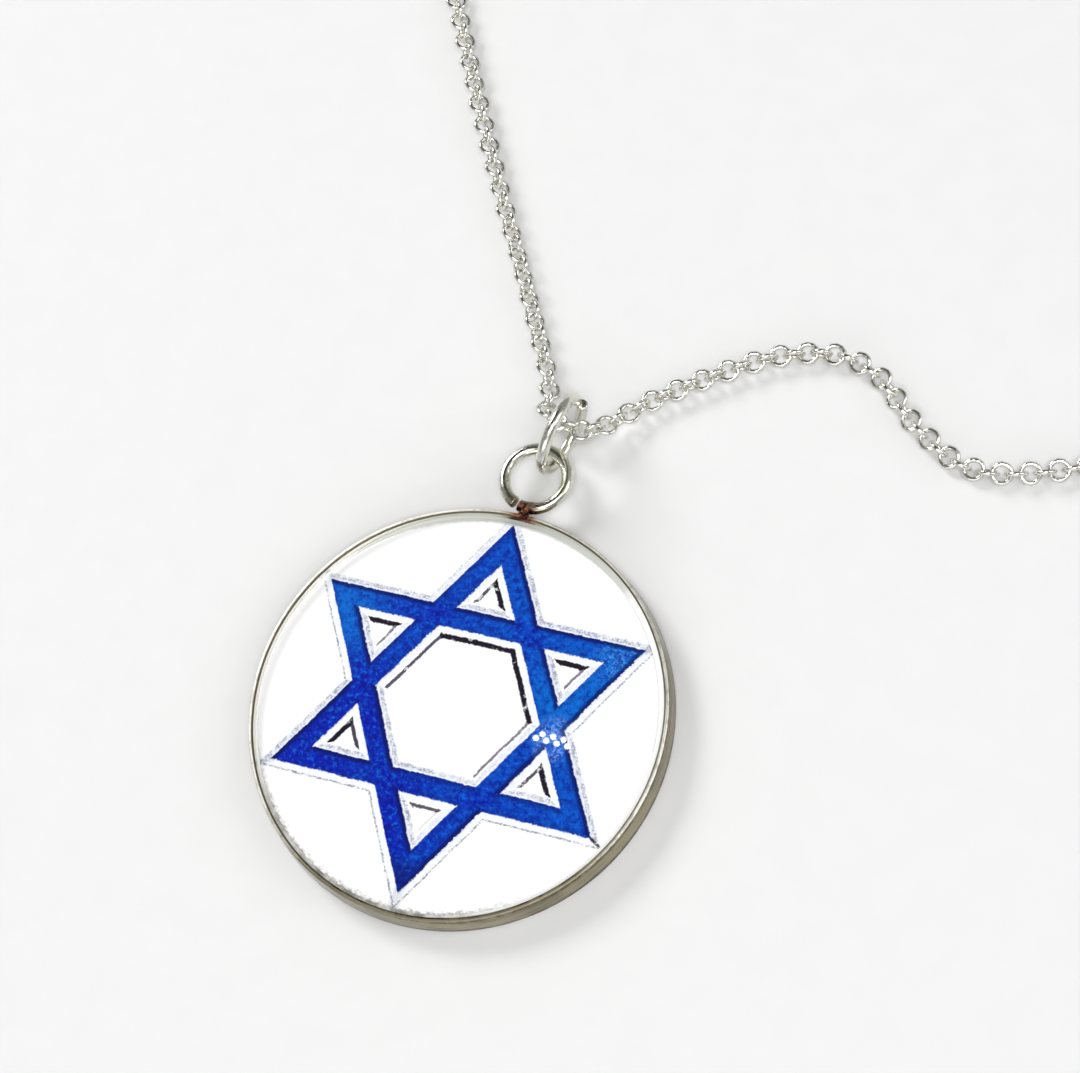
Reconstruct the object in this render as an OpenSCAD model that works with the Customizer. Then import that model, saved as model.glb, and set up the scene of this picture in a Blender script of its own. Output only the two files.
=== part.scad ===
// Round tray pendant with a printed six-pointed star, on a fine round-link chain.
// Millimetres. The origin is the centre of the tray's back face, which lies on the floor.
// +Z points out of the picture and +Y from the tray towards its loop.

/* [Tray] */
// Outer diameter of the tray at its lip
lip_d = 26; // [20:0.5:40]
// How much wider the tray is at its foot than at its lip, on the radius
foot_flare = 0.25; // [0.05:0.05:0.6]
// Height of the tray from its back to its lip
tray_h = 2; // [1.9:0.1:3]
// Thickness of the pressed sheet
sheet_t = 0.3; // [0.2:0.05:0.5]
// Radius of the tray's rounded lower edge
foot_edge_r = 0.4; // [0.1:0.05:0.6]

/* [Picture] */
// Gap between the picture disc and the tray's wall, on the radius
disc_gap = 0.2; // [0.1:0.05:0.5]
// Depth of the picture's face below the lip
face_recess = 0.6; // [0.4:0.05:1]
// Thickness of the printed layer of the star
print_t = 0.05; // [0.03:0.01:0.15]
// White margin between the edge of the disc and the star's points
star_margin = 0.55; // [0.45:0.05:4]
// Width of the star's strokes
star_stroke = 1.35; // [0.8:0.05:2]
// How far the star sits above the middle of the tray
star_up = 0.4; // [-0.4:0.1:0.4]
// Turn of the star against the loop, in degrees
star_turn = 1.3; // [-30:0.1:30]

/* [Loop] */
// Outer diameter of the tray's loop
loop_d = 4.8; // [4.2:0.1:7]
// Wire of the loop
loop_wire = 0.8; // [0.5:0.05:0.9]
// Space between the tray's wall and the loop, which the weld fills
weld_gap = 0.15; // [0.05:0.05:0.2]
// Diameter of the weld bead
weld_d = 1; // [0.8:0.05:1]
// Width of the open cut in the loop
loop_cut_w = 0.3; // [0.1:0.05:0.4]
// Turn of the cut from the weld, in degrees
loop_cut_turn = 18; // [18:1:60]

/* [Jump ring] */
// Outer diameter of the jump ring
ring_d = 5.5; // [5.3:0.1:8]
// Wire of the jump ring
ring_wire = 0.75; // [0.5:0.05:0.8]
// Clearance of the loop's wire above the jump ring's wire that passes under it
under_gap = 0.4; // [0.2:0.05:0.45]
// Clearance of the loop's wire inside the jump ring
hold_gap = 0.06; // [0.05:0.01:0.1]
// Lean of the jump ring from the floor, in degrees
ring_lean = 96; // [92:1:98]
// Turn of the jump ring about the upright, in degrees
ring_turn = -11; // [-14:1:-6]
// Place on the loop that the jump ring hangs on, in degrees from the loop's far end
ring_seat = 20; // [10:1:24]
// Width of the jump ring's cut
ring_cut_w = 0.12; // [0.05:0.01:0.3]
// Sideways offset of the jump ring's two ends
ring_cut_offset = 0.45; // [0:0.05:0.5]

/* [Chain] */
// Outer width of the chain
chain_d = 1.5; // [1.2:0.05:1.6]
// Gap between the chain's ends and the clasp
chain_end_gap = 0.15; // [0.05:0.05:0.4]

/* [Clasp] */
// Length of the clasp over its claw and eye
clasp_l = 10; // [9:0.5:14]
// Outer width of the claw
claw_d = 4.6; // [4:0.1:6]
// Wire at the claw's tip
claw_wire = 0.75; // [0.6:0.05:0.8]
// Diameter of the clasp's neck
neck_d = 1.6; // [1.2:0.1:2]
// Outer diameter of the eye
eye_d = 2.4; // [2.2:0.1:3]
// Wire of the eye
eye_wire = 0.6; // [0.5:0.05:0.7]

/* [Hidden] */
$fn = 96;

// Clearance between pieces that lie against each other
seat_gap = 0.05;
// Points on each rounded edge of the tray
edge_steps = 6;
// Sides of the chain's tube, and the longest stretch between its rings
chain_sides = 8;
chain_step_max = 9;
// Sides and turns of the jump ring's wire
wire_sides = 16;
wire_steps = 60;

// Tray: its radii, and the radius of its wall at a height
lip_r = lip_d / 2;
foot_r = lip_r + foot_flare;
inner_r = lip_r - sheet_t;
lip_round_z = tray_h - sheet_t / 2;
function wall_r(z) = foot_r - foot_flare * (z - foot_edge_r) / (lip_round_z - foot_edge_r);

// Picture disc, pushed against the left of its gap
disc_r = inner_r - disc_gap;
disc_x = seat_gap - disc_gap;
face_z = tray_h - face_recess;

// Star: the distance from its centre to its points
star_r = disc_r - star_margin;

// Loop: centreline radius, height and distance from the middle of the tray
loop_r = (loop_d - loop_wire) / 2;
loop_z = ring_wire + under_gap + loop_wire / 2;
loop_y = wall_r(loop_z) + weld_gap + loop_d / 2;
loop_cut_deg = 2 * asin(loop_cut_w / 2 / loop_r);

// Jump ring: it stands with its foot on the floor, leans, and hangs on one place of the loop.
// Its foot lies to one side of its middle by a part of the offset between its ends. In its own
// plane the loop's wire lies seat_drop below its centre and seat_in towards the tray.
ring_r = (ring_d - ring_wire) / 2;
ring_foot_side = ring_cut_offset / 4;
ring_z = ring_r * sin(ring_lean) - ring_foot_side * cos(ring_lean)
    + ring_wire / 2 / cos(180 / wire_sides);
ring_cut_deg = 2 * asin(ring_cut_w / 2 / ring_r);
ring_out = [-sin(ring_turn), cos(ring_turn)];
ring_side = -cos(ring_lean) * [cos(ring_turn), sin(ring_turn)];
seat_reach = ring_r - ring_wire / 2 - loop_wire / 2 - hold_gap;
seat_drop = (ring_z - loop_z) / sin(ring_lean);
seat_in = sqrt(max(seat_reach * seat_reach - seat_drop * seat_drop, 0));
ring_seat_xy = [0, loop_y] + loop_r * [sin(ring_seat), cos(ring_seat)];
ring_xy = ring_seat_xy + seat_in * ring_out + seat_drop * ring_side;

// Chain: points of its middle line, as [x, y, lift] from the jump ring's place and from lying
// flat on the floor. The first list runs from the jump ring to the right, the second to the left.
route_right = [
    [0.1, 0.82, 1.38], [1.3, 0.88, 1.15], [2.4, 1.9, 0.6], [3.5, 3.3, 0.15], [4.8, 4.6, 0],
    [8, 7, 0], [11.3, 9, 0], [14.8, 9.9, 0], [17.8, 9, 0], [21, 6.2, 0], [25, 4.4, 0],
    [31, 6, 0], [38.5, 10, 0], [49, 16, 0], [61, 25, 0], [73, 36, 0], [85, 50, 0], [94, 66, 0],
    [100, 85, 0], [101, 104, 0], [97, 121, 0], [88, 136, 0], [76, 148, 0], [60, 157, 0]];
route_left = [
    [-1.1, 1.15, 1.05], [-1.9, 2.1, 0.5], [-2.2, 3.3, 0.08], [-2.8, 4.6, 0], [-4.2, 7, 0],
    [-6.8, 11.3, 0], [-10, 16.5, 0], [-15, 25, 0], [-21, 36, 0], [-27, 49, 0], [-31, 64, 0],
    [-32, 81, 0], [-29, 98, 0], [-22, 114, 0], [-12, 128, 0], [1, 140, 0], [16, 151, 0]];
// Middle of the clasp, from the jump ring's place
clasp_at = [38, 158];

clasp_z = neck_d / 2;
claw_r = (claw_d - claw_wire) / 2;
eye_r = (eye_d - eye_wire) / 2;
claw_x = clasp_l / 2 - claw_d / 2;
eye_x = -clasp_l / 2 + eye_d / 2;
neck_x = eye_x + eye_r + neck_d / 2 - eye_wire / 2;

function arc_points(centre, radius, from, to) =
    [for (i = [0:edge_steps])
        let (a = from + (to - from) * i / edge_steps)
        centre + radius * [cos(a), sin(a)]];

// Catmull-Rom curve through a list of points, with more steps on the longer stretches
function span_steps(p, i) = ceil(norm(p[i + 1] - p[i]) / chain_step_max);
function curve_point(a, b, c, d, t) =
    0.5 * (2 * b + (c - a) * t + (2 * a - 5 * b + 4 * c - d) * t * t
        + (3 * b - a - 3 * c + d) * t * t * t);
function curve(p) = concat(
    [for (i = [0:len(p) - 2])
        for (k = [0:span_steps(p, i) - 1])
            let (before = p[max(i - 1, 0)], after = p[min(i + 2, len(p) - 1)])
            curve_point(before, p[i], p[i + 1], after, k / span_steps(p, i))],
    [p[len(p) - 1]]);

function laid(p) = [ring_xy[0] + p[0], ring_xy[1] + p[1], chain_d / 2 + p[2]];
function reversed(p) = [for (i = [len(p) - 1:-1:0]) p[i]];
function unit(v) = v / norm(v);

chain_route = concat(
    [laid([clasp_at[0] + clasp_l / 2 + chain_end_gap, clasp_at[1], 0])],
    [for (p = reversed(route_right)) laid(p)],
    [for (p = route_left) laid(p)],
    [laid([clasp_at[0] - clasp_l / 2 - chain_end_gap, clasp_at[1], 0])]);
// The curve never dips below the floor between two points
chain_line = [for (p = curve(chain_route)) [p[0], p[1], max(p[2], chain_d / 2)]];

module tray_section() {
    polygon(concat(
        [[0, 0]],
        arc_points([foot_r - foot_edge_r, foot_edge_r], foot_edge_r, -90, 0),
        arc_points([lip_r - sheet_t / 2, lip_round_z], sheet_t / 2, 0, 180),
        [[inner_r, sheet_t], [0, sheet_t]]));
}

module loop_ring() {
    translate([0, loop_y, loop_z])
        rotate([0, 0, -90 - loop_cut_turn + loop_cut_deg / 2])
            rotate_extrude(angle = 360 - loop_cut_deg)
                translate([loop_r, 0]) circle(d = loop_wire);
}

module tray() {
    color("silver")
        union() {
            rotate_extrude() tray_section();
            loop_ring();
            translate([0, loop_y - loop_d / 2 - weld_gap / 2, loop_z]) sphere(d = weld_d);
        }
}

module picture_disc() {
    color("white")
        translate([disc_x, 0, sheet_t + seat_gap])
            cylinder(r = disc_r, h = face_z - sheet_t - seat_gap);
}

// One triangle of the star, as a frame of even strokes
module star_triangle(turn) {
    rotate([0, 0, turn])
        difference() {
            circle(r = star_r, $fn = 3);
            circle(r = star_r - 2 * star_stroke, $fn = 3);
        }
}

module star() {
    color("royalblue")
        translate([disc_x, star_up, face_z])
            linear_extrude(print_t)
                union() {
                    star_triangle(90 + star_turn);
                    star_triangle(-90 + star_turn);
                }
}

// A closed tube of flat sides along a line of points, with a flat side down
module tube(line, width, sides) {
    n = len(line);
    corner_r = width / 2 / cos(180 / sides);
    points = [for (i = [0:n - 1])
        let (
            ahead = unit(line[min(i + 1, n - 1)] - line[max(i - 1, 0)]),
            across = unit(cross([0, 0, 1], ahead)),
            up = cross(ahead, across))
        for (k = [0:sides - 1])
            let (a = 360 * (k + 0.5) / sides)
            line[i] + corner_r * (cos(a) * across + sin(a) * up)];
    walls = [for (i = [0:n - 2])
        for (k = [0:sides - 1])
            let (next = (k + 1) % sides)
            [i * sides + k, i * sides + next, (i + 1) * sides + next, (i + 1) * sides + k]];
    first_end = [for (k = [sides - 1:-1:0]) k];
    last_end = [for (k = [0:sides - 1]) (n - 1) * sides + k];
    polyhedron(points = points, faces = concat(walls, [first_end], [last_end]), convexity = 10);
}

// One turn of wire, whose two cut ends lie side by side at its far end
module jump_ring() {
    turn = [for (i = [0:wire_steps])
        let (
            part = i / wire_steps,
            a = 90 + ring_cut_deg / 2 + (360 - ring_cut_deg) * part)
        [ring_r * cos(a), ring_r * sin(a), ring_cut_offset * (part - 0.5)]];
    color("gainsboro")
        translate([ring_xy[0], ring_xy[1], ring_z])
            rotate([0, ring_lean, ring_turn])
                tube(turn, ring_wire, wire_sides);
}

module chain() {
    color("lightgray") tube(chain_line, chain_d, chain_sides);
}

// Side of the claw, from its round end to the neck
module claw_arm(side) {
    arm = [neck_x - claw_x, -side * (claw_r - neck_d / 4)];
    translate([claw_x, side * claw_r, 0])
        rotate([0, 90, atan2(arm[1], arm[0])])
            cylinder(d1 = claw_wire, d2 = neck_d / 2, h = norm(arm));
}

module clasp() {
    color("silver")
        translate([ring_xy[0] + clasp_at[0], ring_xy[1] + clasp_at[1], clasp_z])
            union() {
                translate([claw_x, 0, 0])
                    rotate([0, 0, -100])
                        rotate_extrude(angle = 200)
                            translate([claw_r, 0]) circle(d = claw_wire);
                claw_arm(1);
                claw_arm(-1);
                translate([neck_x, 0, 0]) sphere(d = neck_d);
                translate([eye_x, 0, 0])
                    rotate_extrude() translate([eye_r, 0]) circle(d = eye_wire);
            }
}

tray();
picture_disc();
star();
jump_ring();
chain();
clasp();
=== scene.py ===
"""Round steel pendant with a printed six-pointed star, on a fine round-link chain, laid on a pale floor."""

import bmesh
import bpy
import math
import random
from functools import partial, reduce
from mathutils import Euler, Matrix, Vector
from types import SimpleNamespace


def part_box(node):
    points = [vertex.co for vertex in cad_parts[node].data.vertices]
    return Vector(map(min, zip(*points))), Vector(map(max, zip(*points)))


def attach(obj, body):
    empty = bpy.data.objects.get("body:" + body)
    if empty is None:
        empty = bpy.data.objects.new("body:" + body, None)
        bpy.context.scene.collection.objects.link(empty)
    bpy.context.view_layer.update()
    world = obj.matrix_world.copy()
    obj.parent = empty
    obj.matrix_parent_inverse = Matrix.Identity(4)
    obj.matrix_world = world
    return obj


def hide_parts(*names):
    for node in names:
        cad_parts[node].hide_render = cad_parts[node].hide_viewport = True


bl_info = {
    "name": "Star of David pendant",
    "version": (1, 0, 0),
    "blender": (4, 5, 0),
    "location": "3D View > Sidebar > Pendant",
    "description": "Dresses the packed pendant: pressed tray, printed picture, jump ring, chain and clasp",
    "category": "Object",
}

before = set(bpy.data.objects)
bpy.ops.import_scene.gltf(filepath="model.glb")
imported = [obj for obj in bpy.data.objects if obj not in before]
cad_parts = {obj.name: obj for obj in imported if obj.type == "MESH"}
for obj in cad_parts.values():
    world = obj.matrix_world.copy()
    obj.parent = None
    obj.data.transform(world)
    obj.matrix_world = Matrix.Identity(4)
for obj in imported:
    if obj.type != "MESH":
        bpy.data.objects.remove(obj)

MM = 0.001
TAU = math.tau

# The packed solids give the sizes and places that the pieces are built to
TRAY_LOW, TRAY_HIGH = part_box("tray")
DISC_LOW, DISC_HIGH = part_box("picture_disc")
CHAIN_LOW, CHAIN_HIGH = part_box("chain")
CLASP_LOW, CLASP_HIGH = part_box("clasp")

FOOT_R = -TRAY_LOW.x
DISC_R = (DISC_HIGH.x - DISC_LOW.x) / 2
DISC_X = (DISC_HIGH.x + DISC_LOW.x) / 2
FACE_Z = DISC_HIGH.z

# Sizes that the source names and the boxes don't show
TRAY_H = 2.0 * MM
SHEET_T = 0.3 * MM
FOOT_FLARE = 0.25 * MM
FOOT_EDGE_R = 0.4 * MM
LOOP_WIRE = 0.8 * MM
LOOP_D = 4.8 * MM
LOOP_Z = 1.55 * MM
LOOP_CUT = 0.3 * MM
LOOP_CUT_TURN = math.radians(18)
WELD_GAP = 0.15 * MM
STAR_MARGIN = 0.55 * MM
STAR_STROKE = 1.35 * MM
STAR_UP = 0.4 * MM
STAR_TURN = math.radians(1.3)
RING_D = 5.5 * MM
RING_WIRE = 0.75 * MM
RING_LEAN = math.radians(96)
RING_TURN = math.radians(-11)
RING_CUT = 0.12 * MM
RING_CUT_OFFSET = 0.45 * MM
RING_AT = Vector((0.98958, 18.38862, 2.7561)) * MM
CHAIN_D = 1.5 * MM
CHAIN_END_GAP = 0.15 * MM
CLASP_L = 10 * MM
CLAW_D = 4.6 * MM
CLAW_WIRE = 0.75 * MM
NECK_D = 1.6 * MM
EYE_D = 2.4 * MM
EYE_WIRE = 0.6 * MM

LOOP_R = (LOOP_D - LOOP_WIRE) / 2
LOOP_Y = TRAY_HIGH.y - LOOP_D / 2
RING_R = (RING_D - RING_WIRE) / 2
CLASP_AT = Vector(((CLASP_LOW.x + CLASP_HIGH.x) / 2, (CLASP_LOW.y + CLASP_HIGH.y) / 2, NECK_D / 2))
WELD_AT = Vector((0, LOOP_Y - LOOP_D / 2 - WELD_GAP / 2, LOOP_Z))

# The chain's route, in millimetres: x and y from the jump ring's place, and the lift off the floor
ROUTE_RIGHT = [
    (0.1, 0.82, 1.38), (1.3, 0.88, 1.15), (2.4, 1.9, 0.6), (3.5, 3.3, 0.15), (4.8, 4.6, 0),
    (8, 7, 0), (11.3, 9, 0), (14.8, 9.9, 0), (17.8, 9, 0), (21, 6.2, 0), (25, 4.4, 0),
    (31, 6, 0), (38.5, 10, 0), (49, 16, 0), (61, 25, 0), (73, 36, 0), (85, 50, 0), (94, 66, 0),
    (100, 85, 0), (101, 104, 0), (97, 121, 0), (88, 136, 0), (76, 148, 0), (60, 157, 0),
]
ROUTE_LEFT = [
    (-1.1, 1.15, 1.05), (-1.9, 2.1, 0.5), (-2.2, 3.3, 0.08), (-2.8, 4.6, 0), (-4.2, 7, 0),
    (-6.8, 11.3, 0), (-10, 16.5, 0), (-15, 25, 0), (-21, 36, 0), (-27, 49, 0), (-31, 64, 0),
    (-32, 81, 0), (-29, 98, 0), (-22, 114, 0), (-12, 128, 0), (1, 140, 0), (16, 151, 0),
]


def length(name, description, default, low, high):
    """A size in metres for a PropertyGroup."""
    return bpy.props.FloatProperty(
        name=name, description=description, default=default, min=low, max=high,
        precision=6, step=0.001, subtype="DISTANCE", unit="LENGTH",
    )


def angle(name, description, degrees):
    """An angle for a PropertyGroup, given in degrees."""
    return bpy.props.FloatProperty(
        name=name, description=description, default=math.radians(degrees), min=-math.pi, max=math.pi,
        subtype="ANGLE", unit="ROTATION",
    )


def colour(name, description, default):
    """A colour for a PropertyGroup, in linear light."""
    return bpy.props.FloatVectorProperty(
        name=name, description=description, default=default, size=3, min=0.0, max=1.0,
        subtype="COLOR",
    )


class TraySettings(bpy.types.PropertyGroup):
    """The pressed tray, its loop and its weld."""

    sheet: length("Sheet", "Thickness of the pressed sheet", SHEET_T, 0.2 * MM, 0.5 * MM)
    waviness: length("Waviness", "How far the pressed wall strays from round", 0.02 * MM, 0, 0.1 * MM)
    loop_wire: length("Loop wire", "Thickness of the loop's wire", LOOP_WIRE, 0.5 * MM, 0.9 * MM)
    weld: length("Weld", "Width of the weld where it meets the wall", 1.1 * MM, 0.8 * MM, 1.4 * MM)
    # Painted shade and light: the pan and the loop are one steel, the pan's colour made darker and the
    # loop's lighter
    pan_steel: colour("Pan steel", "Colour of the pressed pan", (0.24, 0.215, 0.14))
    loop_steel: colour("Loop steel", "Colour of the loop's wire", (0.78, 0.78, 0.64))
    heat_tint: colour("Heat tint", "Colour that the weld's heat left", (0.030, 0.014, 0.010))


class PictureSettings(bpy.types.PropertyGroup):
    """The printed picture under its gloss."""

    edge_round: length("Edge", "Rounding of the disc's upper edge", 0.12 * MM, 0, 0.4 * MM)
    paper: colour("Paper", "Colour of the bare print", (0.975, 0.975, 0.98))
    deep_blue: colour("Deep blue", "The darker blue of the strokes", (0.001, 0.016, 0.43))
    light_blue: colour("Light blue", "The lighter blue of the strokes", (0.001, 0.085, 0.53))
    azure: colour("Azure", "The brightest blue, towards the right tip", (0.001, 0.15, 0.62))
    navy: colour("Navy", "The strokes' dark upper edges", (0.001, 0.005, 0.12))
    ice: colour("Ice", "The pale sketched band round the strokes", (0.70, 0.77, 0.90))
    fuzz: colour("Fuzz", "The grey fuzz along the band", (0.27, 0.29, 0.40))
    line: colour("Line", "The dark pencil line inside the band", (0.012, 0.008, 0.02))
    # Also the painted grey of the wall's reflection and shadow, in the resin and at the print's rim
    resin: colour("Resin", "The clear resin against the wall", (0.60, 0.62, 0.58))


class RingSettings(bpy.types.PropertyGroup):
    """The jump ring that carries the tray."""

    wire: length("Wire", "Thickness of the jump ring's wire", RING_WIRE, 0.5 * MM, 0.8 * MM)
    silver: colour("Silver", "Colour of the plated wire", (0.72, 0.715, 0.64))


class ChainSettings(bpy.types.PropertyGroup):
    """The round-link chain."""

    link_width: length("Link width", "Outer width of a link", CHAIN_D, 1.2 * MM, 1.6 * MM)
    link_wire: length("Link wire", "Thickness of a link's wire", 0.3 * MM, 0.2 * MM, 0.36 * MM)
    play: length("Play", "Slack between one link and the next", 0.05 * MM, 0.005 * MM, 0.1 * MM)
    lean_right: angle("Right lean", "How far the links lean over in the right strand", -17)
    lean_left: angle("Left lean", "How far the links lean over in the left strand", 32)
    drift: angle("Drift", "How far the lean strays along the chain", 12)
    end_ring: length("End ring", "Outer width of the ring on the eye", 2.2 * MM, 2.0 * MM, 2.4 * MM)
    tag_ring: length("Tag ring", "Outer width of the ring in the claw", 2.8 * MM, 2.6 * MM, 3.0 * MM)
    end_wire: length("End wire", "Thickness of the two rings' wire", 0.35 * MM, 0.3 * MM, 0.4 * MM)
    silver: colour("Silver", "Colour of the plated links", (0.78, 0.775, 0.72))


class ClaspSettings(bpy.types.PropertyGroup):
    """The lobster clasp behind the neck."""

    body: length("Body", "Radius of the claw's thick side", 0.54 * MM, 0.4 * MM, 0.6 * MM)
    gate: length("Gate", "Radius of the claw's gate", 0.32 * MM, 0.25 * MM, 0.36 * MM)
    silver: colour("Silver", "Colour of the clasp", (0.90, 0.89, 0.86))


class StageSettings(bpy.types.PropertyGroup):
    """Floor, lamps and camera."""

    floor: colour("Floor", "Colour of the plain floor", (0.80, 0.80, 0.80))
    soft_light: bpy.props.FloatProperty(
        name="Soft light", description="Strength of all the lamps", default=1.0, min=0.0, max=4.0,
    )
    tent: colour("Tent", "Light of the room all round the stage", (0.33, 0.33, 0.325))
    dim: colour("Dim", "Light of the part of the room that the gloss mirrors", (0.03, 0.03, 0.03))


SETTINGS = {
    "pendant_tray": TraySettings,
    "pendant_picture": PictureSettings,
    "pendant_ring": RingSettings,
    "pendant_chain": ChainSettings,
    "pendant_clasp": ClaspSettings,
    "pendant_stage": StageSettings,
}


# Modelling helpers. Points nearer than this are one

DOUBLED = 0.0005 * MM


def deselect_all():
    """Leaves nothing selected, because an operator acts on all that is."""
    if bpy.context.object and bpy.context.object.mode != "OBJECT":
        bpy.ops.object.mode_set(mode="OBJECT")
    bpy.ops.object.select_all(action="DESELECT")


def take(*objects):
    """Selects these objects alone and makes the first one active."""
    deselect_all()
    for one in objects:
        one.select_set(True)
    bpy.context.view_layer.objects.active = objects[0]


def edit(piece, action="DESELECT"):
    """Starts edit mode on one piece, with nothing or all of it selected."""
    take(piece)
    bpy.ops.object.mode_set(mode="EDIT")
    bpy.ops.mesh.select_all(action=action)


def pick(kind, test):
    """Selects the vertices, edges or faces of the piece in edit mode that pass a test."""
    mesh = bpy.context.object.data
    bpy.ops.mesh.select_all(action="DESELECT")
    bpy.ops.mesh.select_mode(type={"verts": "VERT", "edges": "EDGE", "faces": "FACE"}[kind])
    shape = bmesh.from_edit_mesh(mesh)
    for part in getattr(shape, kind):
        part.select = test(part)
    shape.select_flush_mode()
    bmesh.update_edit_mesh(mesh)


def on_circle(radius, height, near=0.01 * MM):
    """A test for edges that lie on a level circle round the tray's axis."""
    def test(edge):
        return all(
            abs(v.co.z - height) < near and abs(math.hypot(v.co.x, v.co.y) - radius) < near
            for v in edge.verts
        )
    return test


def apply_modifier(piece, kind, **values):
    """Adds a modifier with these values and applies it."""
    take(piece)
    modifier = piece.modifiers.new(kind.title(), kind)
    for name, value in values.items():
        setattr(modifier, name, value)
    bpy.ops.object.modifier_apply(modifier=modifier.name)


def apply_place(piece):
    """Puts the piece's place, turn and size in its mesh."""
    take(piece)
    bpy.ops.object.transform_apply(location=True, rotation=True, scale=True)


def settled(name):
    """Names the primitive just added and puts its place in its mesh."""
    piece = bpy.context.object
    piece.name = name
    apply_place(piece)
    return piece


def recalculate_normals(piece):
    """Merges doubled points and turns all faces outwards."""
    edit(piece, "SELECT")
    bpy.ops.mesh.remove_doubles(threshold=DOUBLED)
    bpy.ops.mesh.normals_make_consistent(inside=False)
    bpy.ops.object.mode_set(mode="OBJECT")


def smooth(piece, degrees=35):
    """Smooth shading that keeps edges sharper than this angle."""
    take(piece)
    bpy.ops.object.shade_smooth_by_angle(angle=math.radians(degrees))


def add_material(piece, finish):
    """Gives the piece one finish all over."""
    piece.data.materials.clear()
    piece.data.materials.append(finish)


def joined(name, pieces):
    """Joins pieces into the first one and names it."""
    take(*pieces)
    bpy.ops.object.join()
    whole = bpy.context.object
    whole.name = name
    whole.data.name = name
    return whole


def uneven(piece, size, strength, seed):
    """Sinks the surface a little here and there, as a hand-worked or worn surface is."""
    grain = bpy.data.textures.new(piece.name + "_unevenness", "CLOUDS")
    grain.noise_scale = size
    grain.noise_depth = 1
    anchor = bpy.data.objects.new("unevenness_anchor", None)
    bpy.context.scene.collection.objects.link(anchor)
    anchor.location = (seed * 0.11, seed * 0.07, seed * 0.05)
    bpy.context.view_layer.update()
    apply_modifier(
        piece, "DISPLACE", texture=grain, strength=strength, mid_level=1.0,
        texture_coords="OBJECT", texture_coords_object=anchor,
    )
    bpy.data.objects.remove(anchor)
    bpy.data.textures.remove(grain)


# Shader helpers. A step is made on the node tree of the outputs that feed it

def feed(socket, value):
    """Joins a node's output to a socket, or sets the socket's own value."""
    if isinstance(value, bpy.types.NodeSocket):
        socket.id_data.links.new(value, socket)
    elif value is not None:
        socket.default_value = (*value, 1.0) if socket.type == "RGBA" else value


def feed_named(step, values):
    """Feeds a node's inputs by name."""
    for name, value in values.items():
        feed(step.inputs[name], value)


def node(kind, *values, **choices):
    """A node with these choices, fed in the order of its sockets, where None leaves one alone."""
    tree = next(value.id_data for value in values if isinstance(value, bpy.types.NodeSocket))
    step = tree.nodes.new("ShaderNode" + kind)
    for name, choice in choices.items():
        setattr(step, name, choice)
    for socket, value in zip(step.inputs, values):
        feed(socket, value)
    return step


def calc(operation, *values, clamp=False):
    """The result of a Math node."""
    return node("Math", *values, operation=operation, use_clamp=clamp).outputs[0]


def chained(operation):
    """A function that takes numbers through Math nodes of one kind, from left to right."""
    return lambda *values: reduce(partial(calc, operation), values)


times, plus, minus = chained("MULTIPLY"), chained("ADD"), chained("SUBTRACT")
larger, smaller = chained("MAXIMUM"), chained("MINIMUM")


def off(value, mark):
    """How far a number is from a mark, either way."""
    return calc("ABSOLUTE", minus(value, mark))


def strayed(value, amount):
    """A noise's number, centred on zero and this wide."""
    return times(minus(value, 0.5), amount)


def vector(operation, *values):
    """The result of a Vector Math node: a number for a dot product or a length."""
    step = node("VectorMath", *values, operation=operation)
    return step.outputs["Value" if operation in {"DOT_PRODUCT", "LENGTH"} else "Vector"]


def dot(place, heading):
    """How far a place lies along a heading."""
    return vector("DOT_PRODUCT", place, heading)


def distance(place, spot):
    """How far a place is from a spot."""
    return vector("LENGTH", vector("SUBTRACT", place, spot))


def split(place):
    """The place's three numbers."""
    return node("SeparateXYZ", place).outputs


def ease(value, start, end, low=0.0, high=1.0):
    """A smooth step from low at start to high at end."""
    return node("MapRange", value, start, end, low, high, interpolation_type="SMOOTHSTEP").outputs["Result"]


def blend(amount, first, second, how="MIX"):
    """Mixes two colours."""
    # A Mix node's colours come after its factors and its two pairs of numbers and vectors
    colours = (None, None, None, None, None, first, second)
    return node("Mix", amount, *colours, data_type="RGBA", blend_type=how, clamp_factor=True).outputs[2]


def noise(where, scale, detail=2.0, roughness=0.5):
    """A Noise texture's number and colour."""
    step = node("TexNoise", where)
    feed_named(step, {"Scale": scale, "Detail": detail, "Roughness": roughness})
    return step.outputs["Fac"], step.outputs["Color"]


def bump(shader, height, distance, strength):
    """Joins a height to the shader's normal, as fine relief."""
    step = height.id_data.nodes.new("ShaderNodeBump")
    feed_named(step, {"Strength": strength, "Distance": distance, "Height": height})
    feed(shader.inputs["Normal"], step.outputs["Normal"])


def towards(degrees):
    """A level heading."""
    return math.cos(math.radians(degrees)), math.sin(math.radians(degrees)), 0.0


def toned(colour, share):
    """A colour made darker or brighter."""
    return tuple(min(1.0, share * part) for part in colour)


def new_finish(name, centre=(0, 0, 0), turn=(0, 0, 0)):
    """A material, its shader, and the surface's place in millimetres from a centre and with a turn."""
    finish = bpy.data.materials.new(name)
    finish.use_nodes = True
    nodes = finish.node_tree.nodes
    place = nodes.new("ShaderNodeTexCoord").outputs["Object"]
    place = node("Mapping", place, centre, turn, (MM, MM, MM), vector_type="TEXTURE").outputs["Vector"]
    return finish, nodes["Principled BSDF"], place


# Finishes. These colours are mixed in beside those of the settings, also in linear light

# Painted shade under the lip and at the foot
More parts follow.
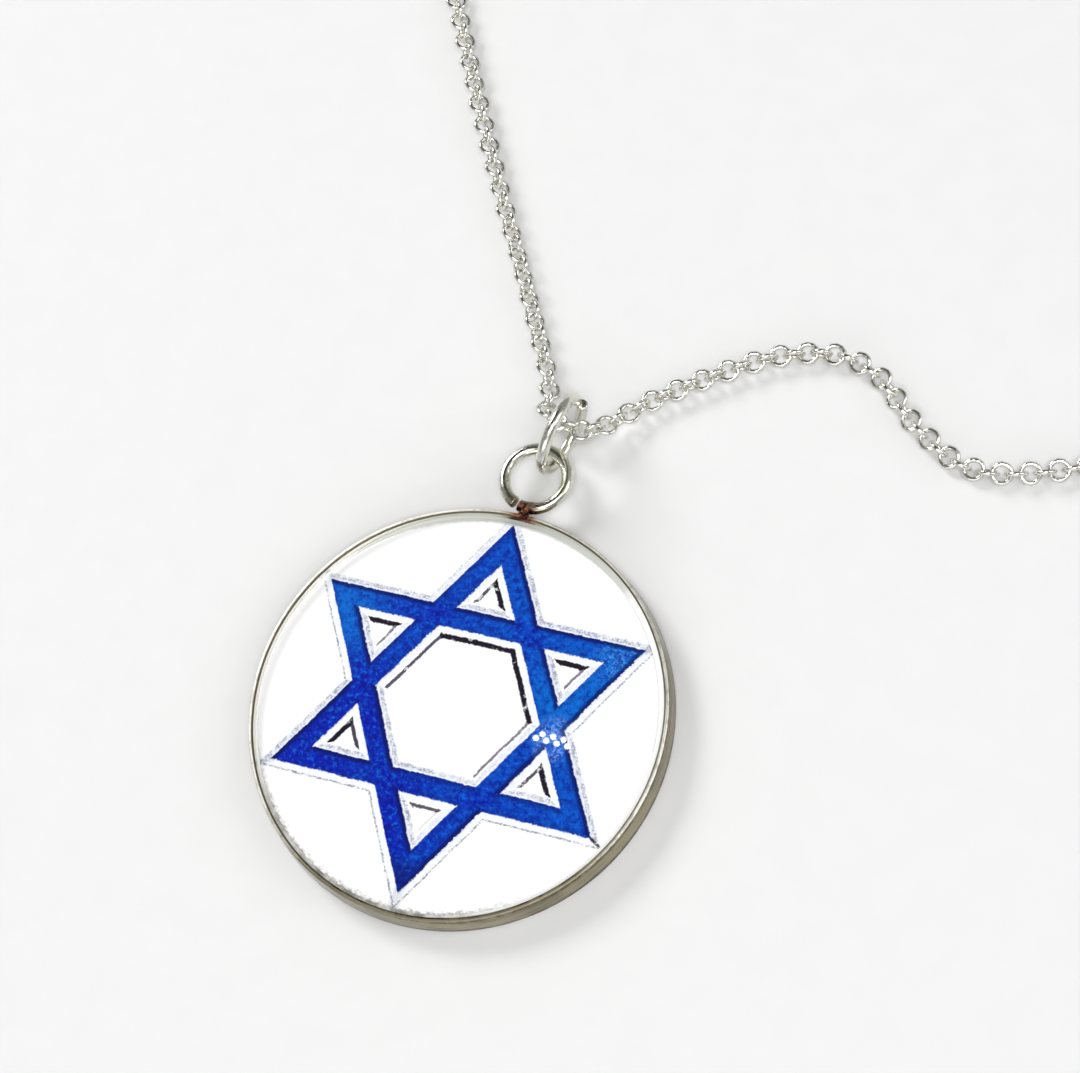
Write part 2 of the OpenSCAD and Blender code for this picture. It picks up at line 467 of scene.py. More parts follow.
FOOT_AND_LIP_SHADE = (0.06, 0.05, 0.02)
# Painted light on the inner wall
LIT_INNER_WALL = (0.88, 0.87, 0.82)
# Painted highlight and shade of the lip
PAINTED_LIP_HIGHLIGHT = (0.92, 0.90, 0.82)
PAINTED_LIP_SHADE = (0.27, 0.235, 0.16)
PAINTED_LIP_INSIDE_SHADE = (0.13, 0.115, 0.07)
DARKEST_LIP_INSIDE_SHADE = (0.025, 0.022, 0.01)
STRAW = (0.30, 0.20, 0.10)
RUST = (0.34, 0.13, 0.065)
TARNISH = (0.80, 0.78, 0.71)
NICKED = (0.55, 0.53, 0.47)
# Painted shade in the resin towards the bottom
PAINTED_RESIN_SHADE = (0.13, 0.12, 0.08)
SCRATCHED_BLUE = (0.12, 0.42, 0.80)
BLOTTED_BLUE = (0.003, 0.16, 0.66)
GRAINY_BLUE = (0.01, 0.17, 0.70)
# Painted reflection round the glints
GLINT_HALO_BLUE = (0.20, 0.33, 0.75)
DARKENING = (0.7, 0.42, 0.66)
OUTLINE_GREY = (0.20, 0.22, 0.28)
THIN_LEAD = (0.12, 0.10, 0.16)
# Painted shade along the print's low edge
LOW_EDGE_SHADE = (0.27, 0.26, 0.21)

# Headings across the tray, scaled to come near 1 at its rim
WALL_BOTTOM = (0.020, -0.0747, 0.0)
RESIN_TOP = (-0.007, 0.079, 0.0)
PRINT_TOP = (-0.007, 0.081, 0.0)
PRINT_BOTTOM = (-0.0205, -0.0766, 0.0)

# The smears past the star's tips: heading in degrees, width in millimetres, darkness
TIP_SMEARS = ((30, 0.30, 0.55), (210, 0.26, 0.6), (330, 0.14, 1.0), (270, 0.5, 0.3))


def turned_steel(name, steel, settings):
    """Polished stainless steel, with fine lines round the tray's axis and the weld's heat tint, and painted
    light and shade: lighter reflection patches, a pale inner wall, a lip bright outside and dark inside, a
    dark line under the lip and a contact shadow at the foot.
    """
    finish, shader, place = new_finish(name)
    x, y, z = split(place)
    across = calc("SQRT", plus(times(x, x), times(y, y)))
    around = node("CombineXYZ", times(calc("ARCTAN2", y, x), 5.0), times(across, 9.0), times(z, 9.0))
    lines, _ = noise(around.outputs[0], 1.0, 4.0, 0.6)
    patches, _ = noise(place, 0.22, 3.0)
    # A noise for real grime in dull patches, which also breaks up the painted shade and the lip's painted
    # light below
    grime_and_shade, _ = noise(place, 1.7, 4.0, 0.65)
    dull = toned(steel, 0.45)
    # Lighter patches of steel: partly uneven tone, partly painted reflections
    base = blend(ease(patches, 0.40, 0.60), steel, toned(steel, 1.6))
    base = blend(ease(lines, 0.45, 0.68, 0.0, 0.7), base, dull)
    base = blend(ease(grime_and_shade, 0.55, 0.72, 0.0, 0.4), base, dull)

    lip_r = (FOOT_R - FOOT_FLARE) / MM
    inner_r = lip_r - SHEET_T / MM
    top_z = TRAY_H / MM
    # Painted shade: a dark line under the lip, and a painted contact shadow at the foot, darker towards the
    # bottom
    under_lip_shade = times(ease(z, 1.55, 1.8), ease(grime_and_shade, 0.4, 0.55, 0.2, 0.8))
    foot = times(ease(z, 0.72, 0.46), ease(grime_and_shade, 0.35, 0.55, 0.35, 0.95))
    on_pan = ease(across, lip_r + 0.3, lip_r + 0.25)
    base = blend(times(larger(under_lip_shade, foot), on_pan), base, FOOT_AND_LIP_SHADE)
    # Painted light: the inner wall made pale, as the white disc's reflection in it
    base = blend(ease(across, inner_r + 0.05, inner_r + 0.02), base, LIT_INNER_WALL)
    # Painted highlight and shade on the lip: its outer half bright, dimmer towards the bottom; its inner
    # half dark, darkest towards the bottom
    lip = times(ease(z, top_z - 0.12, top_z - 0.07), ease(across, lip_r + 0.1, lip_r + 0.06))
    below = dot(place, WALL_BOTTOM)
    shaded = calc("ADD", ease(below, 0.50, 0.80, 0.0, 0.95), ease(grime_and_shade, 0.45, 0.65, 0.0, 0.4), clamp=True)
    lip_edge = blend(shaded, PAINTED_LIP_HIGHLIGHT, PAINTED_LIP_SHADE)
    darker_below = times(ease(below, 0.60, 0.90), ease(grime_and_shade, 0.42, 0.58))
    lip_inside_shade = blend(darker_below, PAINTED_LIP_INSIDE_SHADE, DARKEST_LIP_INSIDE_SHADE)
    base = blend(lip, base, blend(ease(across, inner_r + 0.09, inner_r + 0.15), lip_inside_shade, lip_edge))

    ragged = plus(distance(place, WELD_AT / MM), strayed(grime_and_shade, 0.9))
    burnt = ease(ragged, 1.15, 0.65)
    base = blend(times(ease(ragged, 1.9, 0.9), 0.55), base, STRAW)
    scorched, _ = noise(place, 3.2, 3.0, 0.6)
    base = blend(burnt, base, blend(ease(scorched, 0.46, 0.62), settings.heat_tint, RUST))
    rough = plus(ease(lines, 0.3, 0.8, 0.14, 0.32), times(burnt, 0.25), times(lip, 0.25))
    feed_named(shader, {"Base Color": base, "Roughness": rough, "Metallic": 1.0})
    bump(shader, plus(lines, times(grime_and_shade, 0.6)), 0.006 * MM, 0.6)
    return finish


def plated_silver(name, silver, dullness):
    """Bright plating over drawn wire, with faint haze, nicks and tarnish in places."""
    finish, shader, place = new_finish(name)
    haze, _ = noise(place, 0.9, 4.0, 0.6)
    nicks, _ = noise(place, 7.0, 3.0, 0.7)
    base = blend(ease(haze, 0.45, 0.75, 0.0, 0.35), silver, TARNISH)
    base = blend(ease(nicks, 0.6, 0.78, 0.0, 0.4), base, NICKED)
    rough = ease(nicks, 0.3, 0.75, dullness - 0.05, dullness + 0.12)
    feed_named(shader, {"Base Color": base, "Roughness": rough, "Metallic": 1.0})
    bump(shader, nicks, 0.004 * MM, 0.5)
    return finish


def resin(settings):
    """The clear resin at the wall, with painted reflection and shade: grey towards the top, as the wall seen
    in it and its shadow, and dark in patches below.
    """
    finish, shader, place = new_finish("clear_resin")
    streaks, _ = noise(place, 0.9, 3.0, 0.6)
    top = plus(dot(place, RESIN_TOP), strayed(streaks, 0.25))
    # Painted reflection and shadow of the wall: grey towards the top; painted shade: dark patches towards
    # the bottom
    pale = blend(ease(top, 0.62, 0.80), settings.paper, settings.resin)
    dark = times(ease(dot(place, PRINT_BOTTOM), 0.70, 0.92), ease(streaks, 0.35, 0.65, 0.25, 0.85))
    base = blend(dark, pale, PAINTED_RESIN_SHADE)
    feed_named(shader, {"Base Color": base, "Roughness": 0.25, "Coat Weight": 1.0})
    return finish


def star_strokes(place):
    """How far a place is outside the strokes, and outside the whole, of the star's two triangles."""
    reach = [dot(place, towards(degrees)) for degrees in (90, 210, 330)]
    side = (DISC_R - STAR_MARGIN) / MM / 2
    half = STAR_STROKE / MM / 2
    triangles = minus(times(smaller(*reach), -1.0), side), minus(larger(*reach), side)
    strokes = [minus(calc("ABSOLUTE", plus(outside, half)), half) for outside in triangles]
    return strokes, triangles


def drawn_star(place):
    """The hand-drawn star at a place: its grain, how far its strokes are, and how its edges face."""
    star = SimpleNamespace(place=place)
    _, star.y, _ = split(place)
    _, drift = noise(place, 0.8, 2.0)
    star.grain, speckle = noise(place, 6.5, 2.0, 0.6)
    star.patch, _ = noise(place, 2.0, 3.0, 0.6)
    star.blot, _ = noise(place, 3.6, 2.0, 0.55)
    star.dust, _ = noise(place, 9.0, 2.0, 0.6)
    middle = (0.5, 0.5, 0.5)
    wobble = vector("SCALE", vector("SUBTRACT", drift, middle), None, None, 0.16)
    fray = vector("SCALE", vector("SUBTRACT", speckle, middle), None, None, 0.20)
    star.drawn = vector("ADD", vector("ADD", place, wobble), fray)
    strokes, triangles = star_strokes(star.drawn)
    star.nearest = smaller(*strokes)
    star.both = larger(*strokes)
    star.inside = smaller(*triangles)

    def turned_from(heading, step=0.12):
        """From -1 on the edges that face this heading to 1 on those that face away."""
        shift = node("CombineXYZ", times(calc("COSINE", heading), step), times(calc("SINE", heading), step))
        strokes_there, _ = star_strokes(vector("ADD", star.drawn, shift.outputs[0]))
        return calc("DIVIDE", minus(star.nearest, smaller(*strokes_there)), step)

    lower_left = dot(place, (-0.8, -0.6, 0.0))
    lower_right = dot(place, (0.6, -0.8, 0.0))
    heading = ease(lower_left, 4.5, 6.5, math.radians(66), math.radians(107))
    turn_back = times(minus(math.radians(10), heading), ease(lower_right, 0, 3))
    star.facing = turned_from(heading)
    star.dark_side = turned_from(plus(heading, turn_back))
    return star


def blue_ink(star, settings):
    """The strokes' blues: deep at the crossings, bright in two arms, blotched and grainy, with navy edges,
    and a painted pale halo round the glints.
    """
    def away_from(x, y):
        return distance(star.place, (x, y, FACE_Z / MM))

    zone, _ = noise(star.place, 0.16, 2.0)
    across = dot(star.place, (0.030, 0.024, 0.0))
    tone = calc("ADD", plus(0.42, across), strayed(zone, 1.6), clamp=True)
    blue = blend(tone, settings.deep_blue, settings.light_blue)
    right_arm = away_from(7.0, 1.8)
    right_tip = away_from(9.3, 5.2)
    upper_left_arm = away_from(-8.8, 4.2)
    bright = larger(ease(right_arm, 4.6, 1.5, 0.0, 0.85), ease(upper_left_arm, 3.8, 1.2, 0.0, 0.8),
                    ease(right_tip, 2.6, 0.8, 0.0, 0.9))
    blue = blend(bright, blue, settings.azure)
    scratches = times(ease(right_tip, 2.4, 0.8), ease(star.grain, 0.48, 0.62, 0.0, 0.6))
    blue = blend(scratches, blue, SCRATCHED_BLUE)
    crossing = times(ease(star.both, 0.6, -0.5), ease(star.patch, 0.3, 0.6, 0.3, 0.9),
                     ease(right_arm, 2.0, 4.0))
    blue = blend(crossing, blue, settings.deep_blue)
    blue = blend(ease(star.patch, 0.44, 0.60, 0.0, 0.7), blue, DARKENING, "MULTIPLY")
    blue = blend(ease(star.blot, 0.48, 0.38, 0.0, 0.8), blue, DARKENING, "MULTIPLY")
    blue = blend(ease(star.blot, 0.55, 0.68, 0.0, 0.5), blue, BLOTTED_BLUE)
    blue = blend(ease(star.grain, 0.58, 0.70, 0.0, 0.4), blue, GRAINY_BLUE)
    # Painted reflection: pale blue mottles round the glints in the gloss
    painted_glint_halo = times(ease(away_from(6.5, -0.7), 1.7, 0.8), ease(star.grain, 0.46, 0.60, 0.0, 0.75))
    blue = blend(painted_glint_halo, blue, GLINT_HALO_BLUE)
    ragged = plus(star.nearest, strayed(star.blot, 0.35))
    edges = times(ease(ragged, -0.40, -0.17), ease(star.dark_side, 0.4, -0.7, 0.1, 1.0))
    bottom_tip = ease(star.y, -9.2, -10.9, 0.0, 0.75)
    return blend(times(larger(edges, bottom_tip), 0.9), blue, settings.navy)


def sketched_paper(star, settings):
    """The white round the strokes: a pale band, grey fuzz, an outline and pencil lines, with painted shade
    of the wall at the rim: a grey band widest at the top, and darker along the low edge.
    """
    in_hole = ease(star.inside, -0.2, -0.5)
    near_band = times(ease(star.nearest, 0.45, 0.30), ease(star.blot, 0.35, 0.6, 0.1, 0.5))
    paper = blend(near_band, settings.paper, settings.ice)
    lit_side = ease(star.facing, 0.25, -0.55)
    speckled = ease(star.dust, 0.38, 0.58, 0.2, 0.95)
    beside = times(ease(off(star.nearest, 0.24), 0.22, 0.06), ease(star.patch, 0.34, 0.58, 0.25, 0.95))
    paper = blend(times(beside, lit_side, speckled), paper, settings.fuzz)
    outline = times(ease(off(star.nearest, 0.43), 0.10, 0.02), minus(1.0, lit_side), minus(1.0, in_hole),
                    ease(star.patch, 0.30, 0.50, 0.35, 1.0), speckled)
    paper = blend(outline, paper, OUTLINE_GREY)

    weight = times(ease(star.facing, -0.6, 0.8), ease(star.y, -6.5, -5.0, 0.5, 1.0), in_hole)
    half_width = plus(times(weight, 0.125), 0.03)
    pencil = ease(minus(off(star.nearest, 0.59), half_width), 0.05, -0.02)
    solid = times(ease(weight, 0.03, 0.35), ease(star.patch, 0.30, 0.42, 0.35, 1.0))
    lead = blend(ease(weight, 0.3, 0.9), THIN_LEAD, settings.line)
    paper = blend(times(pencil, solid), paper, lead)
    for degrees, width, dark in TIP_SMEARS:
        ahead = towards(degrees)
        aside = calc("ABSOLUTE", dot(star.drawn, (-ahead[1], ahead[0], 0.0)))
        beyond = ease(dot(star.drawn, ahead), 11.2, 11.9, 0.0, dark)
        smear = times(ease(aside, width, width * 0.3), beyond, ease(star.dust, 0.3, 0.5))
        paper = blend(smear, paper, settings.line if dark == 1.0 else settings.fuzz)

    from_middle = vector("ADD", star.place, (0.0, STAR_UP / MM, 0.0))
    from_middle = vector("MULTIPLY", from_middle, (1.0, 1.0, 0.0))
    out = vector("LENGTH", from_middle)
    # Painted reflection and shadow of the wall: a grey band at the print's rim, widest towards the top
    top = ease(dot(from_middle, PRINT_TOP), 0.70, 1.0, 0.0, 0.2)
    painted_wall_band = ease(plus(out, top, strayed(star.blot, 0.2)), 12.42, 12.56, 0.0, 0.85)
    paper = blend(painted_wall_band, paper, settings.resin)
    # Painted shade: darker along the print's low edge by the wall
    near_rim = ease(plus(out, strayed(star.blot, 0.9)), 12.2, 12.55, 0.0, 0.8)
    low_edge = ease(dot(from_middle, PRINT_BOTTOM), 0.50, 0.85)
    painted_low_edge_shade = times(low_edge, near_rim, ease(star.dust, 0.35, 0.55, 0.5, 1.0))
    return blend(painted_low_edge_shade, paper, LOW_EDGE_SHADE)


def printed_picture(name, settings):
    """The print under a clear gloss: blue strokes on white paper."""
    finish, shader, place = new_finish(name, (DISC_X, STAR_UP, 0.0), (0.0, 0.0, STAR_TURN))
    star = drawn_star(place)
    ink = ease(star.nearest, 0.03, -0.03)
    base = blend(ink, sketched_paper(star, settings), blue_ink(star, settings))
    feed_named(shader, {"Base Color": base, "Roughness": 0.4, "Specular IOR Level": 0.1})
    feed_named(shader, {"Coat Weight": 1.0, "Coat Roughness": 0.01})
    ripple, _ = noise(place, 0.25, 2.0)
    bump(shader, ripple, 0.01 * MM, 0.12)
    return finish


def plain_floor(settings):
    """A plain pale floor with the faintest grain."""
    finish, shader, place = new_finish("pale_floor")
    grain, _ = noise(place, 0.4, 3.0)
    base = blend(ease(grain, 0.3, 0.7), settings.floor, toned(settings.floor, 0.985))
    feed_named(shader, {"Base Color": base, "Roughness": 0.6, "Specular IOR Level": 0.25})
    return finish


# Pieces

def wire_along_arc(name, centre, radius, wire, start, angle, sides=24, steps=96):
    """A wire bent round an arc in a level plane, closed at both ends."""
    begin = Vector((math.cos(start), math.sin(start), 0.0)) * radius
    deselect_all()
    bpy.ops.mesh.primitive_circle_add(
        vertices=sides, radius=wire / 2, fill_type="NGON", location=centre + begin,
        rotation=(math.pi / 2, 0.0, start),
    )
    piece = settled(name)
    edit(piece, "SELECT")
    # A positive spin turns clockwise
    bpy.ops.mesh.spin(steps=steps, angle=-angle, center=centre, axis=(0.0, 0.0, 1.0))
    close_ends(piece)
    return piece


def close_ends(piece):
    """Fills the open ends of a wire and turns its faces outwards."""
    edit(piece, "SELECT")
    bpy.ops.mesh.remove_doubles(threshold=DOUBLED)
    pick("edges", lambda edge: len(edge.link_faces) == 1)
    if any(e.select for e in bmesh.from_edit_mesh(piece.data).edges):
        bpy.ops.mesh.edge_face_add()
    recalculate_normals(piece)


def ease_ends(piece, width):
    """Rounds the edges of a wire's two flat ends."""
    edit(piece)
    pick("edges", lambda edge: any(len(face.verts) > 4 for face in edge.link_faces))
    bpy.ops.mesh.bevel(offset=width, segments=3, affect="EDGES", clamp_overlap=True)
    bpy.ops.object.mode_set(mode="OBJECT")


def model_pan(settings):
    """The pressed pan: a wall that narrows to its lip, a rounded foot and a flat back."""
    lip_r = FOOT_R - FOOT_FLARE
    sheet = settings.sheet
    inner_r = lip_r - sheet
    lip_round, crease_round, back_ring = 0.3 * sheet, 0.5 * sheet, 4.2 * MM
    deselect_all()
    bpy.ops.mesh.primitive_cylinder_add(
        vertices=180, radius=FOOT_R, depth=TRAY_H, end_fill_type="NGON", location=(0, 0, TRAY_H / 2),
    )
    pan = settled("pan")
    edit(pan)
    narrow = lip_r / FOOT_R
    pick("verts", lambda v: v.co.z > TRAY_H / 2)
    bpy.ops.transform.resize(value=(narrow, narrow, 1.0), center_override=(0, 0, TRAY_H))
    pick("faces", lambda f: f.normal.z > 0.9)
    bpy.ops.mesh.inset(thickness=sheet, depth=0)
    bpy.ops.mesh.extrude_region_move(TRANSFORM_OT_translate={"value": (0, 0, sheet - TRAY_H)})
    pick("edges", on_circle(FOOT_R, 0.0))
    bpy.ops.mesh.bevel(offset=FOOT_EDGE_R, segments=8, affect="EDGES")
    lips = [on_circle(lip_r, TRAY_H), on_circle(inner_r, TRAY_H)]
    pick("edges", lambda e: any(lip(e) for lip in lips))
    bpy.ops.mesh.bevel(offset=lip_round, segments=5, affect="EDGES")
    pick("edges", on_circle(inner_r, sheet))
    bpy.ops.mesh.bevel(offset=crease_round, segments=3, affect="EDGES")
    pick("faces", lambda f: f.normal.z < -0.9999)
    bpy.ops.mesh.inset(thickness=back_ring, depth=0)
    bpy.ops.mesh.inset(thickness=back_ring, depth=0)
    bpy.ops.object.mode_set(mode="OBJECT")
    return pan


def drawn_out(name, radius, steps, at, heading, sides=20):
    """A round bar along a heading, drawn out in steps of millimetres and share of its radius."""
    deselect_all()
    bpy.ops.mesh.primitive_circle_add(vertices=sides, radius=radius, fill_type="NGON")
    bar = bpy.context.object
    bar.name = name
    edit(bar, "SELECT")
    reach, width = 0.0, 1.0
    for ahead, wide in steps:
        reach += ahead * MM
        bpy.ops.mesh.extrude_region_move(TRANSFORM_OT_translate={"value": (0, 0, ahead * MM)})
        bpy.ops.transform.resize(value=(wide / width, wide / width, 1), center_override=(0, 0, reach))
        width = wide
    close_ends(bar)
    turn = Vector(heading).to_track_quat("Z", "Y").to_matrix().to_4x4()
    bar.matrix_world = Matrix.Translation(at) @ turn
    apply_place(bar)
    return bar


def model_weld(settings):
    """The weld: a waisted bead from the wall to the loop's wire."""
    sunk = 0.32 * MM
    in_wall = Vector((0, FOOT_R - sunk, LOOP_Z))
    waist = [(0.10, 0.86), (0.08, 0.74), (0.09, 0.70), (0.10, 0.78), (0.14, 0.92), (0.18, 0.84), (0.12, 0.5)]
    weld = drawn_out("weld", settings.weld / 2, waist, in_wall, (0, 1, 0), 28)
    apply_modifier(weld, "SUBSURF", levels=1, render_levels=1)
    uneven(weld, 0.35 * MM, 0.09 * MM, 3)
    return weld


class PENDANT_OT_tray(bpy.types.Operator):
    """Model the pressed tray with its loop and its weld"""

    bl_idname = "pendant.tray"
    bl_label = "Tray and Loop"

    def execute(self, context):
        settings = context.scene.pendant_tray
        pan = model_pan(settings)
        uneven(pan, 6 * MM, settings.waviness, 1)
        cut = 2 * math.asin(LOOP_CUT / 2 / LOOP_R)
        centre = Vector((0, LOOP_Y, LOOP_Z))
        start = -math.pi / 2 - LOOP_CUT_TURN + cut / 2
        loop = wire_along_arc("loop", centre, LOOP_R, settings.loop_wire, start, TAU - cut)
        ease_ends(loop, 0.06 * MM)
        uneven(loop, 1.2 * MM, 0.03 * MM, 2)
        weld = model_weld(settings)
        # One steel in two colours: painted shade on the pan, painted light on the loop
        add_material(pan, turned_steel("pan_steel", settings.pan_steel, settings))
        add_material(loop, turned_steel("loop_steel", settings.loop_steel, settings))
        add_material(weld, loop.data.materials[0])
        tray = joined("pressed_tray", [pan, loop, weld])
        smooth(tray, 40)
        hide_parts("tray")
        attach(tray, "root")
        return {"FINISHED"}


# Sides round the disc and its ring of resin
DISC_SIDES = 160


def model_resin_edge():
    """A ring of resin from the disc's edge to the wall, a little below the face."""
    wall_r = FOOT_R - FOOT_FLARE - SHEET_T
    lap, sunk, climb, depth = 0.09 * MM, 0.05 * MM, 0.02 * MM, 0.3 * MM
    inner = DISC_R - lap
    deselect_all()
    bpy.ops.mesh.primitive_circle_add(
        vertices=DISC_SIDES, radius=inner, fill_type="NOTHING", location=(DISC_X, 0, FACE_Z - sunk),
    )
    ring = settled("resin_edge")
    edit(ring, "SELECT")
    bpy.ops.mesh.extrude_edges_move(TRANSFORM_OT_translate={"value": (-DISC_X, 0, climb)})
    wide = (wall_r + climb) / inner
    bpy.ops.transform.resize(value=(wide, wide, 1), center_override=(0, 0, FACE_Z))
    bpy.ops.mesh.select_all(action="SELECT")
    bpy.ops.mesh.extrude_region_move(TRANSFORM_OT_translate={"value": (0, 0, -depth)})
    recalculate_normals(ring)
    return ring


class PENDANT_OT_picture(bpy.types.Operator):
    """Model the picture disc and give the disc and the star their print"""

    bl_idname = "pendant.picture"
    bl_label = "Picture"

    def execute(self, context):
        settings = context.scene.pendant_picture
        deselect_all()
        depth = DISC_HIGH.z - DISC_LOW.z
        bpy.ops.mesh.primitive_cylinder_add(
            vertices=DISC_SIDES, radius=DISC_R, depth=depth, end_fill_type="NGON",
            location=(DISC_X, 0, DISC_LOW.z + depth / 2),
        )
        disc = settled("printed_disc")
        edit(disc)
        pick("edges", lambda e: all(v.co.z > FACE_Z - 0.001 * MM for v in e.verts))
        bpy.ops.mesh.bevel(offset=settings.edge_round, segments=4, affect="EDGES")
        pick("faces", lambda f: f.normal.z > 0.99)
        bpy.ops.mesh.inset(thickness=0.05 * MM, depth=0)
        bpy.ops.object.mode_set(mode="OBJECT")
        add_material(disc, printed_picture("white_print", settings))
        edge = model_resin_edge()
        add_material(edge, resin(settings))
        disc = joined("printed_disc", [disc, edge])
        smooth(disc, 40)
        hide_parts("picture_disc")
        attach(disc, "root")
        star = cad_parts["star"]
        for place in star.material_slots:
            place.material = printed_picture("blue_print", settings)
        return {"FINISHED"}


class PENDANT_OT_jump_ring(bpy.types.Operator):
    """Model the jump ring as one turn of wire, with its ends side by side"""

    bl_idname = "pendant.jump_ring"
    bl_label = "Jump Ring"

    def execute(self, context):
        settings = context.scene.pendant_ring
        cut = 2 * math.asin(RING_CUT / 2 / RING_R)
        start = math.pi / 2 + cut / 2
        begin = Vector((math.cos(start), math.sin(start), 0)) * RING_R
        steps = 120
        deselect_all()
        bpy.ops.mesh.primitive_circle_add(
            vertices=24, radius=settings.wire / 2, fill_type="NOTHING",
            location=begin - Vector((0, 0, RING_CUT_OFFSET / 2)), rotation=(math.pi / 2, 0, start),
        )
        ring = settled("jump_ring_wire")
        apply_modifier(
            ring, "SCREW", angle=TAU - cut, screw_offset=RING_CUT_OFFSET, axis="Z", steps=steps,
            render_steps=steps, use_merge_vertices=False,
        )
        close_ends(ring)
        ease_ends(ring, 0.17 * MM)
        ring.rotation_euler = Euler((0, RING_LEAN, RING_TURN))
        ring.location = RING_AT
        apply_place(ring)
        smooth(ring, 40)
        add_material(ring, plated_silver("ring_silver", settings.silver, 0.2))
        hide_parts("jump_ring")
        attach(ring, "root")
        return {"FINISHED"}


def chain_points():
    """The route through the clasp's two ends and the jump ring, in metres above the floor."""
    def laid(point):
        return Vector((RING_AT.x + point[0] * MM, RING_AT.y + point[1] * MM, CHAIN_D / 2 + point[2] * MM))

    reach = CLASP_L / 2 + CHAIN_END_GAP
    first = Vector((CLASP_AT.x + reach, CLASP_AT.y, CHAIN_D / 2))
    last = Vector((CLASP_AT.x - reach, CLASP_AT.y, CHAIN_D / 2))
    route = [laid(point) for point in reversed(ROUTE_RIGHT)] + [laid(point) for point in ROUTE_LEFT]
    return [first] + route + [last]


def smooth_line(points, steps=40):
    """A Catmull-Rom curve through points that keeps the links inside the packed chain's box."""
    line = []
    for i in range(len(points) - 1):
        a = points[max(i - 1, 0)]
        b = points[i]
        c = points[i + 1]
        d = points[min(i + 2, len(points) - 1)]
        for k in range(steps):
            t = k / steps
            line.append(0.5 * (2 * b + (c - a) * t + (2 * a - 5 * b + 4 * c - d) * t * t
                               + (3 * b - a - 3 * c + d) * t ** 3))
    line.append(points[-1])
    for point in line:
        for axis in range(3):
            low = CHAIN_LOW[axis] + CHAIN_D / 2
            high = CHAIN_HIGH[axis] - CHAIN_D / 2
            point[axis] = max(low, min(high, point[axis]))
    return line


def evenly_along(line, pitch, from_start, from_end):
    """Points and directions an even pitch apart, that far from the line's two ends."""
    reach = [0.0]
    for a, b in zip(line, line[1:]):
        reach.append(reach[-1] + (b - a).length)
    room = reach[-1] - from_start - from_end
    count = math.ceil(room / pitch)
    found, i = [], 0
    for k in range(count + 1):
        want = from_start + room * k / count
        while reach[i + 1] < want and i < len(line) - 2:
            i += 1
        t = (want - reach[i]) / (reach[i + 1] - reach[i])
        found.append(line[i].lerp(line[i + 1], t))
    ahead = [(found[min(k + 1, count)] - found[max(k - 1, 0)]).normalized() for k in range(count + 1)]
    return found, ahead


def ease_between(t, first, second):
    """A smooth change from first at -1 to second at 1."""
    t = max(0.0, min(1.0, (t + 1) / 2))
    return first + (second - first) * t * t * (3 - 2 * t)


def model_link(settings):
    """One round link at the origin, its hole along Z, with a soldered joint a little proud."""
    wire_r = settings.link_wire / 2
    link_r = settings.link_width / 2 - wire_r
    proud = 1.18
    deselect_all()
    bpy.ops.mesh.primitive_torus_add(
        major_segments=12, minor_segments=6, major_radius=link_r, minor_radius=wire_r,
    )
    link = bpy.context.object
    link.name = "link"
    edit(link)
    pick("verts", lambda v: v.co.y > link_r * 0.6 and abs(v.co.x) < link_r * 0.2)
    bpy.ops.transform.resize(value=(1.0, 1.0, proud), center_override=(0, link_r, 0))
    take(link)
    bpy.ops.object.shade_smooth()
    return link


def model_end_ring(outer, wire, at, lean, turn):
    """A closed ring at one end of the clasp, on the floor, with this lean and turn in degrees."""
    ring_r = (outer - wire) / 2
    clear = 0.01 * MM
    rest = wire / 2 + ring_r * abs(math.sin(math.radians(lean))) + clear
    deselect_all()
    bpy.ops.mesh.primitive_torus_add(
        major_segments=28, minor_segments=10, major_radius=ring_r, minor_radius=wire / 2,
        location=(CLASP_AT.x + at[0], CLASP_AT.y + at[1], rest),
        rotation=(math.radians(lean), 0, math.radians(turn)),
    )
    ring = settled("end_ring")
    uneven(ring, 0.8 * MM, 0.02 * MM, 4)
    take(ring)
    bpy.ops.object.shade_smooth()
    return ring


